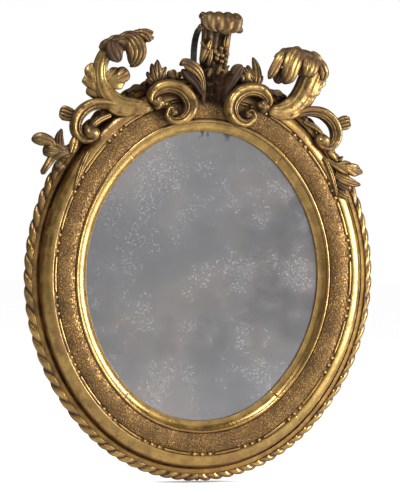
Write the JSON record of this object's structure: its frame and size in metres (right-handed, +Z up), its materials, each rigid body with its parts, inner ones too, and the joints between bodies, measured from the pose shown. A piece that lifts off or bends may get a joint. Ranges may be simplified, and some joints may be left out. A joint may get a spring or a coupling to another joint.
{
  "type": "oval wall mirror",
  "caption": "Oval wall mirror in a gilt moulded frame with pearls, a ribbon-twist edge and a carved crest of scrolls and leaves; it hangs from two swinging rings on its back.",
  "frame": {"origin": "middle of the oval on the wall plane, the back face of the backboard", "axes": "+X to the right seen from the front, +Y into the wall, +Z up; the mirror faces -Y"},
  "size_m": [0.7218, 0.085, 0.9339],
  "materials": {
    "gilt_moulding": "water-gilt wood, burnished, worn to the red-brown bole",
    "gilt_carving": "gilt carved wood, dark in the hollows",
    "dark_bole": "bole with little gilding left",
    "carcass_wood": "gilt on the face, bare aged wood behind",
    "back_wood": "old bare softwood",
    "old_mirror": "old silvered glass with foxing",
    "wrought_iron": "dark wrought iron",
    "hanger_brass": "dull brass",
    "screw_steel": "dull steel"
  },
  "bodies": {
    "frame": {"acanthus_left": "gilt_carving", "acanthus_right": "gilt_carving", "back_leaf_left": "gilt_carving", "back_leaf_right": "gilt_carving", "backboard_plank_1": "back_wood", "backboard_plank_2": "back_wood", "backboard_plank_3": "back_wood", "backboard_screws": "screw_steel", "base_lower_left": "carcass_wood", "base_lower_right": "carcass_wood", "base_upper_left": "carcass_wood", "base_upper_right": "carcass_wood", "c_scroll_left": "gilt_carving", "c_scroll_right": "gilt_carving", "calyx": "dark_bole", "calyx_leaf_left": "gilt_carving", "calyx_leaf_right": "gilt_carving", "crest_bud_left": "gilt_carving", "crest_bud_right": "gilt_carving", "end_leaf_left": "gilt_carving", "end_leaf_right": "gilt_carving", "end_stem_left": "gilt_carving", "end_stem_right": "gilt_carving", "front_moulding_bottom": "gilt_moulding", "front_moulding_left": "gilt_moulding", "front_moulding_right": "gilt_moulding", "front_moulding_top": "gilt_moulding", "glazing_blocks": "back_wood", "hanger_plate_left": "hanger_brass", "hanger_plate_right": "hanger_brass", "hanger_screws": "screw_steel", "iron_strap": "wrought_iron", "joint_dowels": "back_wood", "mirror_plate": "old_mirror", "outer_ball_left": "gilt_carving", "outer_ball_right": "gilt_carving", "outer_scroll_left": "gilt_carving", "outer_scroll_right": "gilt_carving", "pearls": "gilt_moulding", "plume": "gilt_carving", "plume_berries": "gilt_carving", "reels": "gilt_moulding", "scroll_ball_left": "gilt_carving", "scroll_ball_right": "gilt_carving", "scroll_cap_left": "gilt_carving", "scroll_cap_right": "gilt_carving", "side_leaf_left_inner": "gilt_carving", "side_leaf_left_outer": "gilt_carving", "side_leaf_right_outer": "gilt_carving", "sight_slip_bottom": "gilt_moulding", "sight_slip_left": "gilt_moulding", "sight_slip_right": "gilt_moulding", "sight_slip_top": "gilt_moulding", "spray_left": "gilt_carving", "spray_right": "gilt_carving", "strap_screws": "screw_steel", "twist_edge_left": "gilt_moulding", "twist_edge_right": "gilt_moulding"},
    "hanger_ring_left": {"hanger_ring_left": "hanger_brass"},
    "hanger_ring_right": {"hanger_ring_right": "hanger_brass"}
  },
  "joints": [
    {"name": "left_ring_swing", "type": "hinge", "parent": "frame", "child": "hanger_ring_left", "pos_m": [-0.09254, -0.004, 0.33618], "axis": [1, 0, 0], "range_deg": [-5, 180]},
    {"name": "right_ring_swing", "type": "hinge", "parent": "frame", "child": "hanger_ring_right", "pos_m": [0.09254, -0.004, 0.33618], "axis": [1, 0, 0], "range_deg": [-5, 180]}
  ]
}
